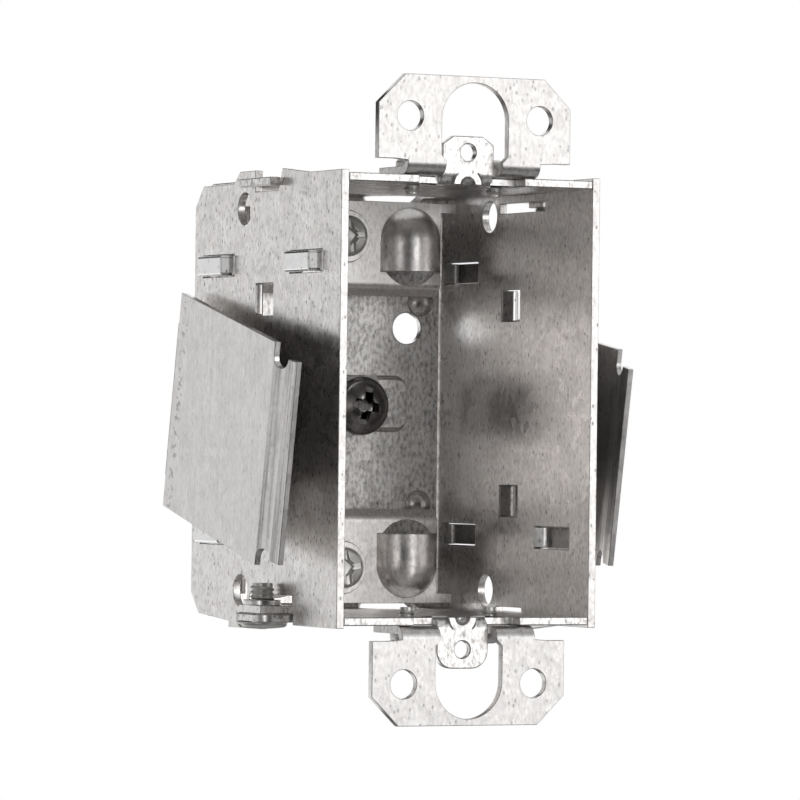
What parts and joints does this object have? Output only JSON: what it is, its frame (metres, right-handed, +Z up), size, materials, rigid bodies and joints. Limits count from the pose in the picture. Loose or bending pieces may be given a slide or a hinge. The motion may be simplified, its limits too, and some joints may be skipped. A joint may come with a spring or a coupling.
{
  "type": "switch box",
  "caption": "Folded steel device box with removable side plates, springy side wings, sliding plaster ears and cable clamps, set into a wall to hold a switch.",
  "frame": {"origin": "midway between the two device-screw holes, on the front face of the device ears", "axes": "+X to the right seen from the open front, +Y to the back wall, +Z up"},
  "size_m": [0.066, 0.0647, 0.1086],
  "materials": {
    "frame_sheet": "galvanised, satin",
    "plate_sheet": "galvanised, satin",
    "spring_sheet": "galvanised, satin",
    "ear_sheet": "galvanised, satin",
    "clamp_sheet": "zinc plated, semi-gloss",
    "screw_zinc": "zinc plated, semi-gloss",
    "ground_dark": "dark, semi-gloss"
  },
  "bodies": {
    "box": {"box_frame": "frame_sheet", "left_side_plate": "plate_sheet", "right_side_plate": "plate_sheet", "left_gang_screw": "screw_zinc", "right_gang_screw": "screw_zinc", "left_spring_leaf": "spring_sheet", "right_spring_leaf": "spring_sheet", "top_ear_screws": "screw_zinc", "bottom_ear_screws": "screw_zinc", "ground_screw": "ground_dark", "ground_wire_plate": "ground_dark"},
    "left_wing": {"left_spring_wing": "spring_sheet"},
    "right_wing": {"right_spring_wing": "spring_sheet"},
    "top_ear": {"top_plaster_ear": "ear_sheet"},
    "bottom_ear": {"bottom_plaster_ear": "ear_sheet"},
    "top_clamp": {"top_cable_clamp": "clamp_sheet"},
    "bottom_clamp": {"bottom_cable_clamp": "clamp_sheet"},
    "top_turning_screw": {"top_clamp_screw": "screw_zinc"},
    "bottom_turning_screw": {"bottom_clamp_screw": "screw_zinc"}
  },
  "joints": [
    {"name": "left_wing_spring", "type": "hinge", "parent": "box", "child": "left_wing", "pos_m": [-0.02582, 0.0585, 0], "axis": [0, -0.1822, 0.9833], "range_deg": [0, 4.4], "stiffness_Nm_per_rad": 2},
    {"name": "right_wing_spring", "type": "hinge", "parent": "box", "child": "right_wing", "pos_m": [0.02582, 0.0585, 0], "axis": [0, 0.1822, -0.9833], "range_deg": [0, 4.4], "stiffness_Nm_per_rad": 2},
    {"name": "top_ear_slide", "type": "slide", "parent": "box", "child": "top_ear", "axis": [0, -1, 0], "range_m": [-0.0015, 0.0015]},
    {"name": "bottom_ear_slide", "type": "slide", "parent": "box", "child": "bottom_ear", "axis": [0, -1, 0], "range_m": [-0.0015, 0.0015]},
    {"name": "top_clamp_slide", "type": "slide", "parent": "box", "child": "top_clamp", "axis": [0, 1, 0], "range_m": [0, 0.0035]},
    {"name": "top_screw_turn", "type": "hinge", "parent": "top_clamp", "child": "top_turning_screw", "pos_m": [0, 0.0455, 0.029], "axis": [0, 1, 0], "range_deg": [0, 1587.4]},
    {"name": "bottom_clamp_slide", "type": "slide", "parent": "box", "child": "bottom_clamp", "axis": [0, 1, 0], "range_m": [0, 0.0035]},
    {"name": "bottom_screw_turn", "type": "hinge", "parent": "bottom_clamp", "child": "bottom_turning_screw", "pos_m": [0, 0.0455, -0.029], "axis": [0, 1, 0], "range_deg": [0, 1587.4]}
  ],
  "couplings": [
    {"joint": "top_screw_turn", "follows": "top_clamp_slide", "rad_per_m": 7915.8},
    {"joint": "bottom_screw_turn", "follows": "bottom_clamp_slide", "rad_per_m": 7915.8}
  ]
}
